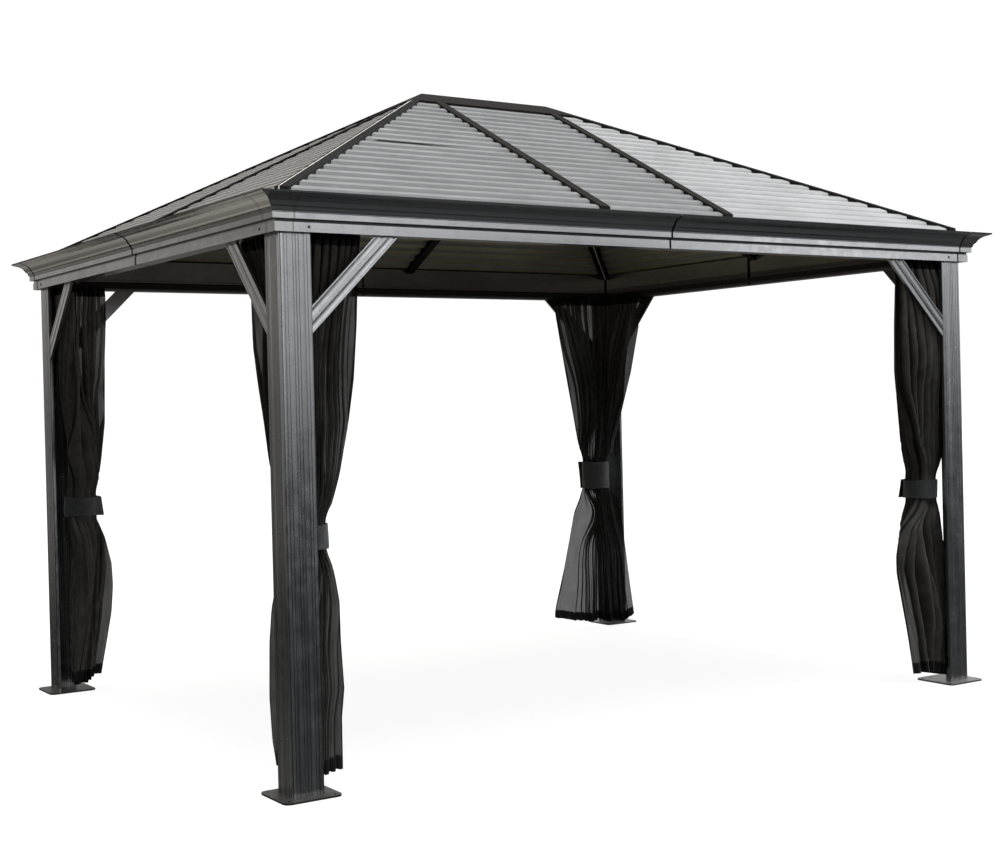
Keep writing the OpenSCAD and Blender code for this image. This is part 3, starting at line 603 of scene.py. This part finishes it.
        # each fold has its own depth, which changes slowly on the way down
        idx = np.clip(q * 2 + 1, 0, len(rand) - 2)
        i0 = idx.astype(int)
        fr = idx - i0
        depth = rand[i0] * (1 - fr)[:, None] + rand[i0 + 1] * fr[:, None]
        wz = np.clip((z - 0.03) / (TOP - 0.03), 0, 1)
        blend = np.array([max(0, 1 - 2 * wz), 1 - abs(2 * wz - 1), max(0, 2 * wz - 1)])
        dep = depth @ blend
        near_tie = math.exp(-((z - 0.5 * (t0 + t1)) / 0.16) ** 2)
        near_top = math.exp(-((TOP - z) / 0.10) ** 2)
        hold = max(near_tie, near_top)
        dep = dep * (1 - hold) + (0.86 + 0.14 * dep) * hold
        if not wide:
            dep = dep * (0.80 + 0.20 * hold)
        slow = 1 + free * (0.30 * np.sin(2 * np.pi * (3.1 * s + 0.9 * z) + ph[2]) + 0.20 * np.sin(2 * np.pi * (6.7 * s - 0.6 * z) + ph[3]))
        swell = free * 0.010 * np.sin(2 * np.pi * (1.2 * s + 0.75 * z) + ph[4])
        ang = 2 * np.pi * q
        off = a * dep * slow * np.sin(ang) + swell
        length = np.linalg.norm(np.gradient(base, axis=0), axis=1).sum() / pleats
        side = -0.30 * min(length, 0.03) * np.sin(2 * ang) * np.minimum(1, a / 0.03)
        xy = base + nrm * off[:, None] + tang * side[:, None]
        # the cloth stays inside the posts and braces
        lim = -0.030
        for c in (0, 1):
            d = xy[:, c] - lim
            xy[:, c] = lim + np.where(d > 0.02, d, 0.02 * np.exp(np.clip(d - 0.02, -1, 0) / 0.02))
        xy = to_edges(name, sx, sy, xy, z, 0.5 * (t0 + t1), 0.5 * (t1 - t0))
        if near_tie > 0.5:
            c = xy - (cx, cy)
            rad = np.linalg.norm(c, axis=1)
            most = HALF - 0.001 + max(0, abs(z - 0.5 * (t0 + t1)) - 0.5 * (t1 - t0)) * 1.4
            xy = (cx, cy) + c * np.minimum(1, most / np.maximum(rad, 1e-6))[:, None]
        zz = z + lift * t ** 2
        for j in range(cols):
            verts.append((sx * (NX - xy[j, 0]), sy * (NY - xy[j, 1]), zz[j]))
            flat.append((s[j] * FLAT_W, t * FLAT_H, (1 - t) * FLAT_H))
    o = piece("net_sheet_" + name, verts, grid_faces(rows, cols), mat_nets[k], True, flat)
    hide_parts("net_" + name)
    return o


def strap(name):
    k, sx, sy = CORNERS[name]
    rng = np.random.default_rng(70 + k)
    cx, cy, z0, z1 = tie_x[k], tie_y[k], tie_low[k], tie_high[k]
    h = z1 - z0
    # the loose end stands off where the photograph's outline shows it
    end = {"front_left": 0.4, "front_right": 2.2, "back_left": -0.5, "back_right": 2.5}[name]
    turns, n, rows = 1.13, 120, 9
    verts, flat = [], []
    ph = rng.random(4) * 6.28
    length = 0.0
    line = []
    for i in range(n):
        w = i / (n - 1)
        th = end - 2 * np.pi * turns * (1 - w)
        tail = max(0.0, (w - 0.94) / 0.06)
        lap = max(0.0, (w - 1 / turns) / (1 - 1 / turns)) if w > 1 / turns else 0.0
        r = 0.0795 + 0.0022 * min(1, lap * 3) + 0.010 * tail ** 1.5
        sq = 1 + 0.035 * math.cos(4 * th + 0.6)
        line.append((r * sq * math.cos(th), r * sq * math.sin(th), th, tail))
    for j in range(rows):
        q = j / (rows - 1)
        for i, (x, y, th, tail) in enumerate(line):
            wob = 0.0010 * math.sin(3 * th + ph[0] + 2.5 * q) + 0.0008 * math.sin(7 * th + ph[1] - 3 * q)
            flare = 0.010 * tail * ((1 - q) if name != "back_right" else q)
            m = 1 + (wob + flare) / 0.08
            X, Y = cx * 1.0, cy * 1.0
            wx, wy = x * m, y * m
            verts.append((sx * (NX - X) + wx, sy * (NY - Y) + wy, z0 + h * q + 0.0016 * math.sin(2 * th + ph[2]) * (q - 0.5) * 2))
            flat.append((i / (n - 1) * 0.565, h * q, h))
    o = piece("net_tie_" + name, verts, grid_faces(rows, n), mat_strap, True, flat)
    return o


def hooks(name, spacing=0.036):
    k, sx, sy = CORNERS[name]
    verts, faces = [], []

    def tab(a, b, along):
        hx, hy = (0.0026, 0.0015) if along == 0 else (0.0015, 0.0026)
        # a tapered carrier through the slot of the track, with an eye below
        prof = [(1.9270, 0.7), (1.9285, 1.15), (1.9330, 1.15), (1.9350, 0.8), (1.9400, 0.8), (1.9410, 1.9), (1.9440, 1.9), (1.9450, 1.4)]
        i0 = len(verts)
        for z, m in prof:
            for (ux, uy) in ((-1, -0.6), (-0.6, -1), (0.6, -1), (1, -0.6), (1, 0.6), (0.6, 1), (-0.6, 1), (-1, 0.6)):
                verts.append((sx * (NX - a) + ux * hx * m, sy * (NY - b) + uy * hy * m, z))
        for r in range(len(prof) - 1):
            for j in range(8):
                faces.append((i0 + r * 8 + j, i0 + r * 8 + (j + 1) % 8, i0 + (r + 1) * 8 + (j + 1) % 8, i0 + (r + 1) * 8 + j))
        faces.append(tuple(i0 + j for j in range(7, -1, -1)))
        faces.append(tuple(i0 + (len(prof) - 1) * 8 + j for j in range(8)))

    n = int((reach_x[k] - 0.03) / spacing)
    for i in range(n):
        tab(0.035 + i * spacing, 0.0, 0)
    n = int((reach_y[k] - 0.03) / spacing)
    for i in range(n):
        tab(0.0, 0.035 + i * spacing, 1)
    return piece("net_hooks_" + name, verts, faces, mat_hook, False)


sheets, straps = {}, {}
for name in CORNERS:
    sheets[name] = net(name)
    straps[name] = strap(name)
    hooks(name)
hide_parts("net_ties")


# ---------------------------------------------------------------- screws
def lathe(prof, seg, place, verts, faces):
    """prof is (radius, height) from the rim to the middle; place maps local to world."""
    i0 = len(verts)
    for r, h in prof:
        for j in range(seg):
            a = 2 * math.pi * j / seg
            verts.append(place @ Vector((r * math.cos(a), r * math.sin(a), h)))
    for i in range(len(prof) - 1):
        for j in range(seg):
            faces.append((i0 + i * seg + j, i0 + i * seg + (j + 1) % seg, i0 + (i + 1) * seg + (j + 1) % seg, i0 + (i + 1) * seg + j))
    faces.append(tuple(i0 + (len(prof) - 1) * seg + j for j in range(seg)))


def facing(pos, out):
    z = Vector(out).normalized()
    x = z.orthogonal().normalized()
    y = z.cross(x)
    return Matrix(((x.x, y.x, z.x, pos[0]), (x.y, y.y, z.y, pos[1]), (x.z, y.z, z.z, pos[2]), (0, 0, 0, 1)))


PAN = [(5.6, -0.4), (5.6, 0.3), (5.3, 1.1), (4.4, 1.9), (3.2, 2.4), (2.2, 2.5), (2.0, 1.3), (1.0, 1.2)]
PAN = [(r / 1000, h / 1000) for r, h in PAN]


def screws(name, places, mat, size=1.0):
    verts, faces = [], []
    for pos, out in places:
        lathe([(r * size, h * size) for r, h in PAN], 14, facing(pos, out), verts, faces)
    return piece(name, verts, faces, mat, True)


zf = 1.926 + 0.0175
places = []
for sx in (-1, 1):
    for sy in (-1, 1):
        places.append(((sx * (1.700 - 0.100), sy * (1.355 + 0.0268), zf), (0, sy, 0)))
        places.append(((sx * (1.700 + 0.0268), sy * (1.355 - 0.098), zf), (sx, 0, 0)))
screws("cornice_screws", places, mat_screw)


# ---------------------------------------------------------------- floor, world, lights
def disc(name, radius, z, mat):
    verts = [(0, 0, z)] + [(radius * math.cos(2 * math.pi * i / 64), radius * math.sin(2 * math.pi * i / 64), z) for i in range(64)]
    me = bpy.data.meshes.new(name)
    me.from_pydata(verts, [], [(0, i + 1, (i + 1) % 64 + 1) for i in range(64)])
    me.materials.append(mat)
    o = bpy.data.objects.new(name, me)
    scene.collection.objects.link(o)
    return o


fm = bpy.data.materials.new("floor")
fm.use_nodes = True
fm.node_tree.nodes.clear()
g = Nodes(fm.node_tree)
dif, emi, add, out = g.add("BsdfDiffuse"), g.add("Emission"), g.add("AddShader"), g.add("OutputMaterial")
dif.inputs["Color"].default_value = (0.16, 0.16, 0.16, 1)
emi.inputs["Color"].default_value = (1, 1, 1, 1)
emi.inputs["Strength"].default_value = 0.93
g.link(dif.outputs[0], add.inputs[0]); g.link(emi.outputs[0], add.inputs[1]); g.link(add.outputs[0], out.inputs[0])
floor = disc("floor", 60.0, -0.0008, fm)
floor.visible_diffuse = False
floor.visible_glossy = False
floor.visible_transmission = False
floor.visible_shadow = False

# Soft boxes round the object: brightness against height above the level, for the four sides
world = bpy.data.worlds.new("studio")
scene.world = world
world.use_nodes = True
world.node_tree.nodes.clear()
g = Nodes(world.node_tree)
dx, dy, dz = xyz(g, g.add("TexCoord").outputs["Generated"])
height = g.remap(g.math("ARCSINE", dz), -math.pi / 2, math.pi / 2, 0.0, 1.0)
level = g.math("MAXIMUM", g.math("SQRT", g.math("ADD", g.math("MULTIPLY", dx, dx), g.math("MULTIPLY", dy, dy))), 1e-4)
STEPS = (-90, -30, -14, -8, -4, 0, 3, 6, 9, 16, 30, 60, 90)
BOXES = (
    (0, -1, (0.975, 1.0, 1.035), (0.0, 0.102, 0.0, 0.0, 0.0, 0.241, 1.399, 0.0, 2.188, 0.0, 0.0, 0.0, 46.292)),
    (1, 0, (0.985, 1.0, 1.02), (0.0, 0.064, 0.065, 0.057, 0.001, 0.0, 0.0, 2.543, 0.0, 2.454, 0.0, 0.0, 0.0)),
    (0, 1, (1.03, 1.0, 0.955), (0.0, 0.347, 0.146, 0.0, 0.213, 0.165, 0.373, 0.566, 0.0, 0.535, 0.0, 0.0, 22.148)),
    (-1, 0, (1.0, 1.0, 1.0), (0.0, 0.03, 0.03, 0.03, 0.04, 0.05, 0.05, 0.05, 0.05, 0.05, 0.03, 0.0, 0.0)))
# along the front right the boxes stand apart, which gives the front its lighter and darker stretches
turn = g.remap(g.math("ARCTAN2", dx, g.math("MULTIPLY", dy, -1.0)), 0.0, math.pi / 2, 0.0, 1.0)
parted = g.ramp(turn, [(a / 90, (v, v, v)) for a, v in (
    (0, .50), (25, .50), (28.5, .64), (31, .52), (33.3, .29), (36, .28), (38, .38), (41, .60), (43, .78), (45, .84), (47, .64), (49.5, .47), (56, .46), (70, .50))])
low = g.math("MULTIPLY", g.remap(dz, 0.03, 0.07, 0.0, 1.0, True), g.remap(dz, 0.45, 0.30, 0.0, 1.0, True))
parted = g.math("ADD", 1.0, g.math("MULTIPLY", low, g.math("SUBTRACT", g.math("MULTIPLY", parted, 2.0), 1.0)))
total = None
for bx, by, tint, values in BOXES:
    top = max(values)
    ramp = g.ramp(height, [((a + 90) / 180, (v / top, v / top, v / top)) for a, v in zip(STEPS, values)])
    face = g.math("DIVIDE", g.math("MAXIMUM", g.math("ADD", g.math("MULTIPLY", dx, float(bx)), g.math("MULTIPLY", dy, float(by))), 0.0), level)
    amount = g.math("MULTIPLY", g.math("MULTIPLY", ramp, g.math("MULTIPLY", face, face)), top)
    shade = g.mix(1.0, amount, tint, "MULTIPLY")
    total = shade if total is None else g.mix(1.0, total, shade, "ADD")
total = g.mix(1.0, total, parted, "MULTIPLY")
path = g.add("LightPath")
bg1, bg2, mixs, out = g.add("Background"), g.add("Background"), g.add("MixShader"), g.add("OutputWorld")
g.link(total, bg1.inputs["Color"])
bg1.inputs["Strength"].default_value = 1.0
bg2.inputs["Color"].default_value = (1, 1, 1, 1)
bg2.inputs["Strength"].default_value = 1.05
g.link(path.outputs["Is Camera Ray"], mixs.inputs[0])
g.link(bg1.outputs[0], mixs.inputs[1]); g.link(bg2.outputs[0], mixs.inputs[2]); g.link(mixs.outputs[0], out.inputs[0])

# light thrown up from the ground under the roof
under = bpy.data.lights.new("under_roof", "AREA")
under.shape, under.size, under.size_y = "RECTANGLE", 2.2, 1.6
under.energy, under.color = 4.0, (1.0, 0.93, 0.74)
lamp = bpy.data.objects.new("under_roof", under)
lamp.location, lamp.rotation_euler = (0.0, 0.0, 0.03), (math.pi, 0.0, 0.0)
lamp.visible_camera = False
lamp.visible_glossy = False
scene.collection.objects.link(lamp)

scene.view_settings.view_transform = "Standard"
scene.view_settings.look = "None"
scene.view_settings.exposure = 0.0
scene.view_settings.gamma = 1.0
